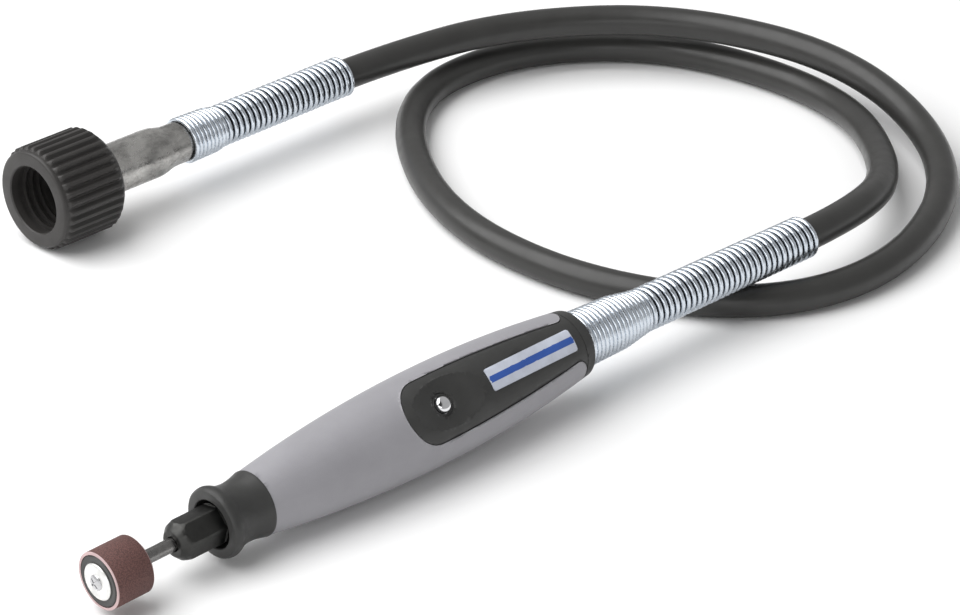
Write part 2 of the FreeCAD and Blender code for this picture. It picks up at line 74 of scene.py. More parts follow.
# Corner points of the sheath's run in metres, from inside the rear guard to the ferrule.
ROUTE = [
    (0.0374, 0.0, 0.0130),
    (0.0780, -0.0010, 0.01355),
    (0.1260, -0.0020, 0.0138),
    (0.1580, 0.0145, 0.0080),
    (0.1880, 0.0570, 0.0040),
    (0.1810, 0.1110, 0.0040),
    (0.1460, 0.1400, 0.0040),
    (0.1025, 0.1355, 0.0040),
    (0.0660, 0.0840, 0.0040),
    (0.0640, 0.0320, 0.0040),
    (0.0870, -0.0080, 0.0040),
    (0.1280, -0.0160, 0.0040),
    (0.1760, 0.0080, 0.0050),
    (0.1935, 0.0560, 0.0125),
    (0.1785, 0.1060, 0.0143),
    (0.1420, 0.1360, 0.0139),
    (0.1010, 0.1428, 0.0135),
    (0.0590, 0.1420, 0.0132),
    (0.0154, 0.14139, 0.0132),
]


def hand_place():
    """Place of the handpiece's own axes: +X its stations, +Z towards the lock pin."""
    spin, press = JOINTS["spindle_spin"], JOINTS["lock_pin_press"]
    x = Vector(spin["axis"]).normalized()
    z = -Vector(press["axis"]).normalized()
    y = z.cross(x)
    origin = Vector(spin["pos_m"]) - x * SPIN_STATION * MM
    turn = Matrix((x, y, z)).transposed().to_4x4()
    return Matrix.Translation(origin) @ turn


def drive_place():
    """Place of the drive end's axes: +X from the coupling nut's front face, +Z up."""
    spin = JOINTS["coupling_nut_spin"]
    x = Vector(spin["axis"]).normalized()
    z = Vector((0, 0, 1))
    turn = Matrix((x, z.cross(x), z)).transposed().to_4x4()
    return Matrix.Translation(Vector(spin["pos_m"]) - x * NUT_SPIN_STATION * MM) @ turn


HAND = hand_place()
DRIVE = drive_place()
PIN = HAND @ Matrix.Translation((PIN_STATION * MM, 0, 0)) @ Matrix.Rotation(-math.pi / 2, 4, "Y")


# ---- sizes and colours --------------------------------------------------------
def length(name, description, millimetres):
    return FloatProperty(name=name, description=description, default=millimetres * MM,
                         unit="LENGTH", subtype="DISTANCE", precision=5)


def colour(name, description, red, green, blue):
    return FloatVectorProperty(name=name, description=description, size=3, subtype="COLOR",
                               default=(red, green, blue), min=0.0, max=1.0)


class FlexSizes(bpy.types.PropertyGroup):
    """Sizes of the wound and ribbed pieces."""
    sheath_radius: length("Sheath radius", "Half the rubber sheath's thickness", 4.0)
    wire: length("Wire", "Thickness of the guard springs' wire", 1.25)
    rear_close: IntProperty(name="Rear close turns", default=10, min=1, max=40,
                            description="Turns wound close at the rear guard's root")
    rear_cone: IntProperty(name="Rear cone turns", default=6, min=1, max=40,
                           description="Close turns that narrow to the rear guard's open radius")
    drive_close: IntProperty(name="Drive close turns", default=7, min=1, max=40,
                             description="Turns wound close at the drive guard's root")
    drive_cone: IntProperty(name="Drive cone turns", default=2, min=1, max=40,
                            description="Close turns that narrow to the drive guard's open radius")
    rear_root: length("Rear root radius", "Outside of the rear guard's first turn", 6.9)
    rear_step: length("Rear step radius", "Outside of the rear guard's last close turn", 6.55)
    rear_open: length("Rear open radius", "Outside of the rear guard's open turns", 5.35)
    drive_root: length("Drive root radius", "Outside of the drive guard's first turn", 6.15)
    drive_step: length("Drive step radius", "Outside of the drive guard's last close turn", 5.95)
    drive_open: length("Drive open radius", "Outside of the drive guard's open turns", 5.4)
    nut_radius: length("Nut radius", "Coupling nut over its ribs", 13.2)
    nut_length: length("Nut length", "Coupling nut from face to back", 20.0)
    ribs: IntProperty(name="Ribs", default=34, min=8, max=60,
                      description="Ribs round the coupling nut")
    rib_height: length("Rib height", "Height of the coupling nut's ribs", 0.85)
    thread_pitch: length("Thread pitch", "Coupling nut thread, 12 turns to the inch", 2.117)


class FlexColours(bpy.types.PropertyGroup):
    """Colours of the finishes."""
    black: colour("Black plastic", "Housing, collar and panel", 0.036, 0.036, 0.035)
    nut_black: colour("Nut plastic", "Ribbed coupling nut", 0.034, 0.032, 0.0305)
    grey: colour("Grip", "Soft grey grip", 0.285, 0.28, 0.30)
    sheath: colour("Sheath", "Rubber sheath", 0.035, 0.0345, 0.033)
    zinc: colour("Zinc", "Plated spring wire", 0.66, 0.71, 0.77)
    nickel: colour("Nickel", "Plated ferrule", 0.56, 0.55, 0.53)
    steel: colour("Steel", "Turned steel", 0.60, 0.60, 0.61)
    grit: colour("Grit", "Abrasive grain", 0.115, 0.052, 0.046)


def sizes():
    return bpy.context.scene.flex_sizes


def colours():
    return bpy.context.scene.flex_colours


# ---- modelling by hand --------------------------------------------------------
def clear_selection():
    if bpy.context.mode != "OBJECT":
        bpy.ops.object.mode_set(mode="OBJECT")
    bpy.ops.object.select_all(action="DESELECT")


def make_active(piece):
    clear_selection()
    piece.select_set(True)
    bpy.context.view_layer.objects.active = piece


def named(name):
    piece = bpy.context.active_object
    piece.name = piece.data.name = name
    return piece


def apply_modifiers(piece):
    make_active(piece)
    for modifier in list(piece.modifiers):
        bpy.ops.object.modifier_apply(modifier=modifier.name)


def put(piece, place, body, node):
    """Bring a piece from its own axes to its place, and hand it over to the frame."""
    piece.matrix_world = place
    make_active(piece)
    bpy.ops.object.transform_apply(location=True, rotation=True, scale=True)
    hand_over(piece, body, node)


def hand_over(piece, body, node):
    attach(piece, body)
    if node:
        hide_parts(node)


def turned(name, outline, sides=96, solid=False):
    """Turn an outline of (station, radius) pairs about X: a ring drawn out and resized."""
    clear_selection()
    x, r = outline[0]
    bpy.ops.mesh.primitive_circle_add(vertices=sides, radius=r * MM,
                                      fill_type="NGON" if solid else "NOTHING",
                                      location=(x * MM, 0, 0), rotation=(0, math.pi / 2, 0))
    piece = named(name)
    bpy.ops.object.transform_apply(location=True, rotation=True, scale=True)
    bpy.ops.object.mode_set(mode="EDIT")
    bpy.ops.mesh.select_all(action="SELECT")
    for next_x, next_r in outline[1:] + ([] if solid else outline[:1]):
        bpy.ops.mesh.extrude_region_move(
            TRANSFORM_OT_translate={"value": ((next_x - x) * MM, 0, 0)})
        bpy.ops.transform.resize(value=(1, next_r / r, next_r / r), center_override=(0, 0, 0))
        x, r = next_x, next_r
    close_seams()
    return piece


def close_seams():
    """Merge the doubles of the mesh in edit mode, and point its faces outwards."""
    bpy.ops.mesh.select_all(action="SELECT")
    bpy.ops.mesh.remove_doubles(threshold=0.000001)
    bpy.ops.mesh.normals_make_consistent(inside=False)
    bpy.ops.object.mode_set(mode="OBJECT")


def round_edges(piece, width, segments=3, angle=30):
    modifier = piece.modifiers.new("rounding", "BEVEL")
    modifier.width = width * MM
    modifier.segments = segments
    modifier.limit_method = "ANGLE"
    modifier.angle_limit = math.radians(angle)
    apply_modifiers(piece)


def pick(piece, test):
    """Select the vertices that pass a test of their place, in millimetres, and edit them."""
    make_active(piece)
    bpy.ops.object.mode_set(mode="EDIT")
    bpy.ops.mesh.select_mode(type="VERT")
    bpy.ops.mesh.select_all(action="DESELECT")
    bpy.ops.object.mode_set(mode="OBJECT")
    for vertex in piece.data.vertices:
        vertex.select = test(vertex.co / MM)
    bpy.ops.object.mode_set(mode="EDIT")


def bend(start, corner, end, steps):
    """Outline points that curve from start to end past a corner, without the start."""
    places = []
    for i in range(1, steps + 1):
        t = i / steps
        weights = ((1 - t) ** 2, 2 * t * (1 - t), t ** 2)
        places.append(tuple(sum(w * p[axis] for w, p in zip(weights, (start, corner, end)))
                            for axis in (0, 1)))
    return places


def quarter_round(x, r, size, steps=5):
    """Outline points that round a corner, from the side at r to the back face at x."""
    places = []
    for i in range(steps + 1):
        angle = math.pi / 2 * i / steps
        places.append((x - size + size * math.sin(angle), r - size + size * math.cos(angle)))
    return places


def merged_copy(node, name):
    """A copy of a designed piece with its seams merged."""
    piece = bpy.data.objects.new(name, frame["nodes"][node].data.copy())
    bpy.context.scene.collection.objects.link(piece)
    make_active(piece)
    bpy.ops.object.mode_set(mode="EDIT")
    bpy.ops.mesh.select_all(action="SELECT")
    bpy.ops.mesh.remove_doubles(threshold=0.000002)
    bpy.ops.object.mode_set(mode="OBJECT")
    return named(name)


def soften(piece, angle=35):
    make_active(piece)
    bpy.ops.object.shade_smooth_by_angle(angle=math.radians(angle))


# ---- finishes -----------------------------------------------------------------
class Nodes:
    """A material's node tree, with the few node kinds that the finishes use."""

    def __init__(self, name, base, roughness, metallic=0.0):
        self.material = bpy.data.materials.new(name)
        self.material.use_nodes = True
        self.tree = self.material.node_tree
        self.shader = self.tree.nodes["Principled BSDF"]
        self.shader.inputs["Base Color"].default_value = (*base, 1)
        self.shader.inputs["Roughness"].default_value = roughness
        self.shader.inputs["Metallic"].default_value = metallic
        self.coords = self.tree.nodes.new("ShaderNodeTexCoord").outputs["Object"]

    def link(self, out, into):
        self.tree.links.new(out, into)

    def noise(self, scale, detail=4.0, roughness=0.55, stretch=None):
        node = self.tree.nodes.new("ShaderNodeTexNoise")
        node.inputs["Scale"].default_value = scale
        node.inputs["Detail"].default_value = detail
        node.inputs["Roughness"].default_value = roughness
        self.link(self.stretched(stretch), node.inputs["Vector"])
        return node.outputs["Fac"]

    def grains(self, scale, feature="F1"):
        node = self.tree.nodes.new("ShaderNodeTexVoronoi")
        node.feature = feature
        node.inputs["Scale"].default_value = scale
        self.link(self.coords, node.inputs["Vector"])
        return node.outputs["Distance"]

    def stretched(self, stretch):
        if stretch is None:
            return self.coords
        node = self.tree.nodes.new("ShaderNodeMapping")
        node.inputs["Scale"].default_value = stretch
        self.link(self.coords, node.inputs["Vector"])
        return node.outputs["Vector"]

    def spread(self, value, low, high, from_low=0.3, from_high=0.7):
        node = self.tree.nodes.new("ShaderNodeMapRange")
        node.inputs["From Min"].default_value = from_low
        node.inputs["From Max"].default_value = from_high
        node.inputs["To Min"].default_value = low
        node.inputs["To Max"].default_value = high
        self.link(value, node.inputs["Value"])
        return node.outputs["Result"]

    def tint(self, value, low, high, from_low=0.3, from_high=0.7):
        """Blend the base colour from low to high as value goes up."""
        node = self.tree.nodes.new("ShaderNodeValToRGB")
        node.color_ramp.elements[0].position = from_low
        node.color_ramp.elements[1].position = from_high
        node.color_ramp.elements[0].color = (*low, 1)
        node.color_ramp.elements[1].color = (*high, 1)
        self.link(value, node.inputs["Fac"])
        self.link(node.outputs["Color"], self.shader.inputs["Base Color"])
        return node.outputs["Color"]

    def vary_roughness(self, value, low, high):
        self.link(self.spread(value, low, high), self.shader.inputs["Roughness"])

    def bump(self, value, height, under=None):
        node = self.tree.nodes.new("ShaderNodeBump")
        node.inputs["Strength"].default_value = 1.0
        node.inputs["Distance"].default_value = height
        self.link(value, node.inputs["Height"])
        if under is not None:
            self.link(under, node.inputs["Normal"])
        self.link(node.outputs["Normal"], self.shader.inputs["Normal"])
        return node.outputs["Normal"]


def shade(base, factor):
    return tuple(min(1.0, c * factor) for c in base)


def black_plastic(name, base):
    """Moulded black plastic: fine spark texture, a little uneven gloss."""
    nodes = Nodes(name, base, 0.42)
    nodes.shader.inputs["Specular IOR Level"].default_value = 0.35
    nodes.tint(nodes.noise(180), shade(base, 0.88), shade(base, 1.14))
    nodes.vary_roughness(nodes.noise(420), 0.36, 0.5)
    nodes.bump(nodes.noise(5200, 2), 0.00002)
    return nodes.material


def soft_grip(base):
    """Grey soft-touch skin: matt, with a fine leathery grain."""
    nodes = Nodes("soft_grip", base, 0.55)
    nodes.tint(nodes.noise(90), shade(base, 0.95), shade(base, 1.05))
    nodes.vary_roughness(nodes.noise(300), 0.5, 0.6)
    nodes.shader.inputs["Sheen Weight"].default_value = 0.12
    nodes.bump(nodes.noise(4200, 3), 0.00002)
    return nodes.material


def sheath_rubber(base):
    """Extruded rubber: satin, with faint drawn streaks and dust."""
    nodes = Nodes("sheath_rubber", base, 0.4)
    nodes.shader.inputs["Specular IOR Level"].default_value = 0.4
    nodes.tint(nodes.noise(120, 5), shade(base, 0.92), shade(base, 1.1))
    nodes.vary_roughness(nodes.noise(260), 0.3, 0.4)
    nodes.bump(nodes.noise(2400, 2), 0.000006)
    return nodes.material


def plated(name, base, rough_low, rough_high, mottle):
    """Plated metal: mottled tone, and roughness that changes over the surface."""
    nodes = Nodes(name, base, rough_low, 1.0)
    nodes.tint(nodes.noise(mottle, 5, 0.6), shade(base, 0.82), shade(base, 1.1))
    nodes.vary_roughness(nodes.noise(mottle * 2.3, 4), rough_low, rough_high)
    nodes.bump(nodes.noise(mottle * 8, 3), 0.00001)
    return nodes.material


def wound_zinc(base):
    """Zinc-plated wire with painted shade: the base colour darkens from the outside of each turn
    towards its inner side, where the turns face each other and the sheath.
    """
    nodes = Nodes("zinc_wire_painted_shade", base, 0.26, 1.0)
    shade_mask = nodes.tree.nodes.new("ShaderNodeAttribute")
    shade_mask.attribute_name = "outward"
    # painted shade: the colour falls to about a fifth of the zinc's on the side of the wire that
    # faces the spring's axis
    nodes.tint(shade_mask.outputs["Fac"], shade(base, 0.22), base, 0.1, 0.62)
    nodes.vary_roughness(nodes.noise(900, 4), 0.2, 0.34)
    nodes.bump(nodes.noise(2600, 3), 0.000006)
    return nodes.material


def worn_nickel(base):
    """Nickel over steel tube: bright, with dull dark patches and fine pits."""
    nodes = Nodes("nickel_plate", base, 0.24, 1.0)
    nodes.tint(nodes.noise(150, 8, 0.68, stretch=(0.55, 1, 1)), shade(base, 0.45), base, 0.4, 0.6)
    nodes.vary_roughness(nodes.noise(420, 6, 0.65), 0.17, 0.4)
    nodes.bump(nodes.noise(1500, 6, 0.65), 0.00002)
    return nodes.material


def turned_steel(base):
    """Turned steel: fine rings round the handpiece's axis."""
    nodes = Nodes("turned_steel", base, 0.3, 1.0)
    nodes.tint(nodes.noise(300, 4), shade(base, 0.85), shade(base, 1.08))
    nodes.vary_roughness(nodes.noise(700, 2, stretch=(9, 1, 1)), 0.22, 0.38)
    nodes.bump(nodes.noise(900, 2, stretch=(9, 1, 1)), 0.00001)
    return nodes.material


def abrasive(base):
    """Coated grain: dark and light grains standing in resin."""
    nodes = Nodes("abrasive_grit", base, 0.75)
    grain = nodes.grains(3400)
    nodes.tint(grain, shade(base, 1.5), shade(base, 0.7), 0.05, 0.75)
    nodes.bump(grain, 0.00009)
    return nodes.material


def paint(piece, *materials):
    piece.data.materials.clear()
    for material in materials:
        piece.data.materials.append(material)


def paint_faces(piece, index, test):
    """Give the faces that pass a test of their centre, in millimetres, another material."""
    for face in piece.data.polygons:
        if test(face.center / MM, face.normal):
            face.material_index = index


FINISH = {}


def make_finishes():
    c = colours()
    FINISH["black"] = black_plastic("black_plastic", c.black)
    FINISH["nut"] = black_plastic("nut_plastic", c.nut_black)
    FINISH["black_steel"] = plated("black_steel", (0.058, 0.058, 0.056), 0.34, 0.48, 300)
    FINISH["grip"] = soft_grip(c.grey)
    FINISH["sheath"] = sheath_rubber(c.sheath)
    FINISH["zinc"] = wound_zinc(c.zinc)
    FINISH["nickel"] = worn_nickel(c.nickel)
    FINISH["dark_steel"] = plated("dark_shank", (0.22, 0.215, 0.21), 0.22, 0.36, 700)
    FINISH["bright"] = plated("bright_washer", (0.86, 0.86, 0.84), 0.28, 0.42, 500)
    FINISH["backing"] = black_plastic("band_backing", (0.5, 0.36, 0.36))
    FINISH["stripe"] = black_plastic("label_stripe", (0.03, 0.09, 0.36))
    FINISH["steel"] = turned_steel(c.steel)
    FINISH["chrome"] = plated("polished_chrome", (0.8, 0.8, 0.82), 0.05, 0.1, 200)
    FINISH["bronze"] = plated("sintered_bronze", (0.55, 0.38, 0.2), 0.35, 0.5, 400)
    FINISH["grit"] = abrasive(c.grit)
    FINISH["rubber"] = sheath_rubber(c.sheath)
    FINISH["label"] = black_plastic("label", (0.52, 0.55, 0.63))


CAD_FINISH = {
    "collet": "steel", "spindle": "steel", "core_tip": "steel",
    "front_bearing_inner": "steel", "front_bearing_outer": "steel",
    "front_bearing_balls": "chrome", "rear_bearing_inner": "steel",
    "rear_bearing_outer": "steel", "rear_bearing_balls": "chrome",
    "lock_pin_spring": "steel", "tail_bush": "steel", "nut_washer": "steel",
    "drive_bush": "bronze", "drive_tip": "steel", "sheath_liner": "steel",
    "flex_core": "steel",
}


# ---- operators ----------------------------------------------------------------
class FLEX_OT_camera(bpy.types.Operator):
    """Stand the camera before the handpiece's nose, looking down on it"""
    bl_idname = "flex.camera"
    bl_label = "Camera"

    def execute(self, context):
        data = bpy.data.cameras.new("camera")
        data.sensor_width = 36.0
        data.lens = 152.0
        data.clip_end = 20.0
        camera = bpy.data.objects.new("camera", data)
        context.scene.collection.objects.link(camera)
        camera.location = CAMERA_PLACE
        camera.rotation_euler = (math.pi / 2 - CAMERA_FALL, 0, -CAMERA_HEADING)
        context.scene.camera = camera
        return {"FINISHED"}


def route_curve(name, radius):
    """The sheath's run as one NURBS curve through the route's corner points."""
    data = bpy.data.curves.new(name, "CURVE")
    data.dimensions = "3D"
    spline = data.splines.new("NURBS")
    spline.points.add(len(ROUTE) - 1)
    for place, corner in zip(spline.points, ROUTE):
        place.co = (*corner, 1)
    spline.order_u = 3
    spline.use_endpoint_u = True
    spline.use_smooth = True
    data.resolution_u = 20
    data.bevel_depth = radius
    data.bevel_resolution = 7
    data.use_fill_caps = radius > 0
    curve = bpy.data.objects.new(name, data)
    bpy.context.scene.collection.objects.link(curve)
    return curve


class FLEX_OT_drum(bpy.types.Operator):
    """Sanding band on its rubber drum, with the washer, the screw and the shank"""
    bl_idname = "flex.drum"
    bl_label = "Sanding drum"

    def execute(self, context):
        body = "collet_and_drum"
        band = turned("band", [(-0.6, 5.92), (-0.6, 6.5), (-0.45, 6.6), (8.75, 6.6), (8.9, 6.5),
                               (8.9, 5.92)], 128)
        paint(band, FINISH["grit"], FINISH["backing"])
        paint_faces(band, 1, lambda c, n: c.x < -0.5 or c.x > 8.8)
        soften(band)
        put(band, HAND, body, "sanding_band")

        rubber = turned("drum_rubber", [(-0.75, 1.55), (-0.75, 4.3), (-0.68, 4.5), (-0.75, 4.7),
                                        (-0.75, 5.55), (-0.4, 5.9), (9.2, 5.9), (9.6, 5.5),
                                        (9.6, 1.55)])
        paint(rubber, FINISH["rubber"])
        soften(rubber)
        put(rubber, HAND, body, "rubber_drum")

        washer = turned("washer", [(-0.75, 1.1), (-0.75, 4.15), (-0.9, 4.2), (-1.1, 4.05),
                                   (-1.2, 3.7), (-1.14, 3.2), (-1.2, 2.6), (-1.2, 1.1)])
        paint(washer, FINISH["bright"])
        soften(washer, 50)
        put(washer, HAND, body, "drum_washer")

        screw = turned("screw", [(4.0, 0.8), (3.8, 0.95), (-1.2, 0.95), (-1.2, 1.8), (-1.4, 1.78),
                                 (-1.65, 1.5), (-1.8, 1.0), (-1.84, 0.5)], 64, solid=True)
        for turn in (0, math.pi / 2):
            clear_selection()
            bpy.ops.mesh.primitive_cube_add(size=MM, location=(-1.85 * MM, 0, 0),
                                            rotation=(turn, 0, 0))
            slot = named("cross_slot")
            slot.scale = (0.7, 2.5, 0.42)
            cut = screw.modifiers.new("cross", "BOOLEAN")
            cut.operation = "DIFFERENCE"
            cut.solver = "EXACT"
            cut.object = slot
            apply_modifiers(screw)
            bpy.data.objects.remove(slot)
        paint(screw, FINISH["steel"])
        soften(screw, 30)
        put(screw, HAND, body, "drum_screw")

        shank = turned("shank", [(-0.75, 1.05), (-0.75, 1.5), (9.6, 1.5), (9.6, 3.3), (10.8, 3.3),
                                 (11.0, 3.1), (11.0, 1.7), (11.1, 1.585), (35.8, 1.585),
                                 (36.0, 1.4), (36.0, 0.3), (5.0, 0.3), (5.0, 1.05)], 64)
        paint(shank, FINISH["dark_steel"])
        soften(shank)
        put(shank, HAND, body, "drum_mandrel")
        return {"FINISHED"}


class FLEX_OT_collar(bpy.types.Operator):
    """Waisted nose collar, and the hexagon collet nut inside it"""
    bl_idname = "flex.collar"
    bl_label = "Collar and collet nut"

    def execute(self, context):
        front, crest, waist = (29.9, 7.25), (31.5, 8.2), (33.4, 7.45)
        back, end = (41.0, 7.55), (41.7, 7.5)
        lip = [(29.9, 5.8), front] + bend(front, (29.9, 8.2), crest, 4)
        lip += bend(crest, (32.1, 8.2), waist, 3) + bend(waist, (36.2, 6.2), back, 7)
        lip += bend(back, (41.65, 7.78), end, 3)
        inside = [(41.7, 5.5), (46.0, 5.5), (46.0, 4.95), (38.0, 4.95), (38.0, 3.9), (36.0, 3.9),
                  (36.0, 5.6), (30.15, 5.6)]
        collar = turned("collar", lip + inside, 128)
        paint(collar, FINISH["black"])
        soften(collar, 30)
        put(collar, HAND, "handpiece", "nose_collar")

        nut = merged_copy("collet_nut", "hex_nut")
        round_edges(nut, 0.12, 2, 25)
        paint(nut, FINISH["black_steel"])
        soften(nut, 30)
        hand_over(nut, "collet_nut", "collet_nut")
        return {"FINISHED"}


class FLEX_OT_handle(bpy.types.Operator):
    """Grip, housing, label with its stripe, and the lock pin in its ring"""
    bl_idname = "flex.handle"
    bl_label = "Handle"

    def execute(self, context):
        for node, name, finish, slot in (("grip_sleeve", "grip", "grip", "grey_grip"),
                                         ("handle_core", "housing", "black", "black_plastic")):
            shell = merged_copy(node, name)
            paint(shell, FINISH[finish])
            soften(shell, 14)
            even = shell.modifiers.new("even_normals", "WEIGHTED_NORMAL")
            even.keep_sharp = True
            apply_modifiers(shell)
            hand_over(shell, "handpiece", node)

        label = merged_copy("label_plate", "label")
        make_active(label)
        bpy.ops.object.mode_set(mode="EDIT")
        across = HAND.to_3x3() @ Vector((0, 1, 0))
        for offset in (-0.8, 0.8):
            bpy.ops.mesh.select_all(action="SELECT")
            bpy.ops.mesh.bisect(plane_co=HAND @ Vector((0, offset * MM, 0)), plane_no=across)
        bpy.ops.object.mode_set(mode="OBJECT")
        paint(label, FINISH["label"], FINISH["stripe"])
        inverse = HAND.inverted()

        def on_stripe(centre, normal):
            place = inverse @ (centre * MM) / MM
            return -0.8 < place.y < 0.8 and 104 < place.x < 131
        paint_faces(label, 1, on_stripe)
        soften(label, 30)
        hand_over(label, "handpiece", "label_plate")

        stem = [(4.9, 0.9), (5.2, 1.2), (7.8, 1.2), (7.8, 2.6), (8.3, 2.6), (8.3, 1.95),
                (9.5, 1.95)]
        head = bend(stem[-1], (10.25, 1.75), (10.46, 0.5), 4)
        pin = turned("pin", stem + head, 64, solid=True)
        paint(pin, FINISH["chrome"])
        soften(pin, 30)
        put(pin, PIN, "lock_pin", "lock_pin")

        ring = turned("pin_ring", [(8.35, 2.05), (8.35, 2.7), (8.85, 2.7), (8.98, 2.6),
                                   (9.0, 2.35), (8.9, 2.1)], 64)
        paint(ring, FINISH["black"])
        soften(ring, 40)
        put(ring, PIN, "handpiece", "lock_pin_bezel")
        return {"FINISHED"}


def raise_ribs(nut):
    """Lift the ribs out of the nut's side: steep at the front, fading out at the back."""
    s = sizes()
    base = s.nut_radius - s.rib_height
    step = 2 * math.pi / s.ribs
    long = s.nut_length / MM
    for front, back, rise in ((1.3, 1.6, 0.6), (1.7, long - 2.0, 1.0), (long - 2.0, long - 1.2, 0.5)):
        for spots, share in (((0, 7), 1.0), ((1, 6), 0.9), ((2, 5), 0.35)):
            def on_rib(at):
                spot = round(math.atan2(at.z, at.y) / step * 8) % 8
                side = math.hypot(at.y, at.z) > base / MM - 1.2
                return front < at.x < back and side and spot in spots
            pick(nut, on_rib)
            grow = 1 + rise * share * s.rib_height / base
            bpy.ops.transform.resize(value=(1, grow, grow), center_override=(0, 0, 0))
            bpy.ops.object.mode_set(mode="OBJECT")


class FLEX_OT_coupling_nut(bpy.types.Operator):
    """Ribbed coupling nut with a screw thread in its mouth"""
    bl_idname = "flex.coupling_nut"
    bl_label = "Coupling nut"

    def execute(self, context):
        s = sizes()
        r, long = s.nut_radius / MM, s.nut_length / MM
        base = r - s.rib_height / MM
        side = [(0.0, 8.9), (0.0, base - 0.7), (0.1, base - 0.35), (0.35, base - 0.1),
                (0.8, base), (1.2, base), (1.5, base), (1.9, base), (3.0, base), (9.0, base),
                (long - 3.4, base)]
        inside = [(long, 6.8), (long - 0.2, 6.6), (13.4, 6.6), (13.4, 9.2), (11.0, 9.2),
                  (2.6, 9.2), (2.2, 8.6), (0.3, 8.6)]
        nut = turned("ribbed_nut", side + quarter_round(long, base, 2.6) + inside, s.ribs * 8)
        raise_ribs(nut)
        clear_selection()
        pitch = s.thread_pitch
        bpy.ops.mesh.primitive_circle_add(vertices=3, radius=0.8 * MM, fill_type="NOTHING",
                                          location=(3.0 * MM, 0, 8.82 * MM),
                                          rotation=(math.pi / 2, math.pi / 2, 0))
        ridge = named("thread_ridge")
        bpy.ops.object.transform_apply(location=True, rotation=True, scale=True)
        screw = ridge.modifiers.new("thread", "SCREW")
        screw.axis = "X"
        screw.screw_offset = pitch
        screw.iterations = 3
        screw.steps = screw.render_steps = 72
        apply_modifiers(ridge)
        bpy.ops.object.mode_set(mode="EDIT")
        bpy.ops.mesh.select_all(action="SELECT")
        bpy.ops.mesh.fill_holes(sides=4)
        close_seams()
        make_active(nut)
        ridge.select_set(True)
        bpy.ops.object.join()
        paint(nut, FINISH["nut"])
        soften(nut, 42)
        put(nut, DRIVE, "coupling_nut", "coupling_nut")
        return {"FINISHED"}


class FLEX_OT_ferrule(bpy.types.Operator):
    """Plated ferrule, swaged down to a waist where the guard spring starts"""
    bl_idname = "flex.ferrule"
    bl_label = "Ferrule"

    def execute(self, context):
        wide, middle, waist = (36.6, 6.3), (40.2, 5.77), (43.8, 5.3)
        outside = [(11.4, 7.7), (11.6, 7.9), (12.6, 7.9), (12.8, 7.7), (12.8, 6.3), (20.0, 6.3),
                   wide]
        outside += bend(wide, (38.6, 6.3), middle, 3) + bend(middle, (41.8, 5.3), waist, 3)
        outside += [(46.2, 5.3), (46.3, 5.2), (46.3, 4.85), (57.0, 4.85)]
        inside = [(57.0, 4.05), (28.2, 4.05), (28.2, 2.8), (22.0, 2.8), (22.0, 4.0), (11.4, 4.0)]
        ferrule = turned("ferrule", outside + inside, 96)
        paint(ferrule, FINISH["nickel"])
        soften(ferrule, 30)
        put(ferrule, DRIVE, "handpiece", "drive_ferrule")
        return {"FINISHED"}


class FLEX_OT_sheath(bpy.types.Operator):
    """Lay the rubber sheath from the handle's tail to the ferrule"""
    bl_idname = "flex.sheath"
    bl_label = "Sheath"

    def execute(self, context):
        radius = sizes().sheath_radius
        sheath = route_curve("sheath", radius)
        paint(sheath, FINISH["sheath"])
        hand_over(sheath, "handpiece", "flex_sheath")
        return {"FINISHED"}


def centre_line():
    """Points of the sheath's centre line, read from a copy of its run with no thickness."""
    curve = route_curve("run", 0.0)
    bpy.context.view_layer.update()
    mesh = bpy.data.meshes.new_from_object(curve)
    points = [v.co.copy() for v in mesh.vertices]
    bpy.data.objects.remove(curve)
    bpy.data.meshes.remove(mesh)
    return points


def wound_wire(name, path, turns):
    """A wire wound round a path: turns is a list of (distance along it, radius) by angle step."""
    distances = [0.0]
    for a, b in zip(path, path[1:]):
        distances.append(distances[-1] + (b - a).length)

    def at(distance):
        i = 0
        while i < len(path) - 2 and distances[i + 1] < distance:
            i += 1
        ahead = (path[i + 1] - path[i]).normalized()
        return path[i] + ahead * (distance - distances[i]), ahead

    data = bpy.data.curves.new(name, "CURVE")
    data.dimensions = "3D"
    spline = data.splines.new("POLY")
    spline.points.add(len(turns) - 1)
    for k, (distance, radius) in enumerate(turns):
        centre, ahead = at(distance)
        side = Vector((0, 0, 1)).cross(ahead).normalized()
        up = ahead.cross(side)
        angle = 2 * math.pi * k / WIRE_STEPS
        spot = centre + (side * math.cos(angle) + up * math.sin(angle)) * radius
        spline.points[k].co = (*spot, 1)
    data.bevel_depth = sizes().wire / 2
    data.bevel_resolution = 3
    data.use_fill_caps = True
    piece = bpy.data.objects.new(name, data)
    bpy.context.scene.collection.objects.link(piece)
    make_active(piece)
    bpy.ops.object.convert(target="MESH")
    piece = named(name)
    mark_outward(piece, at, turns)
    soften(piece, 60)
    return piece


def mark_outward(piece, at, turns):
    """Store on each vertex how far it faces away from the spring's axis, 0 to 1: the mask for the
    wire's painted shade.
    """
    wire = sizes().wire
    per_ring = len(piece.data.vertices) // len(turns)
    outward = piece.data.attributes.new("outward", "FLOAT", "POINT")
    for i, vertex in enumerate(piece.data.vertices):
        distance, radius = turns[min(i // per_ring, len(turns) - 1)]
        centre, ahead = at(distance)
        off = vertex.co - centre
        away = (off - ahead * off.dot(ahead)).length
        outward.data[i].value = min(1.0, max(0.0, (away - radius) / wire + 0.5))


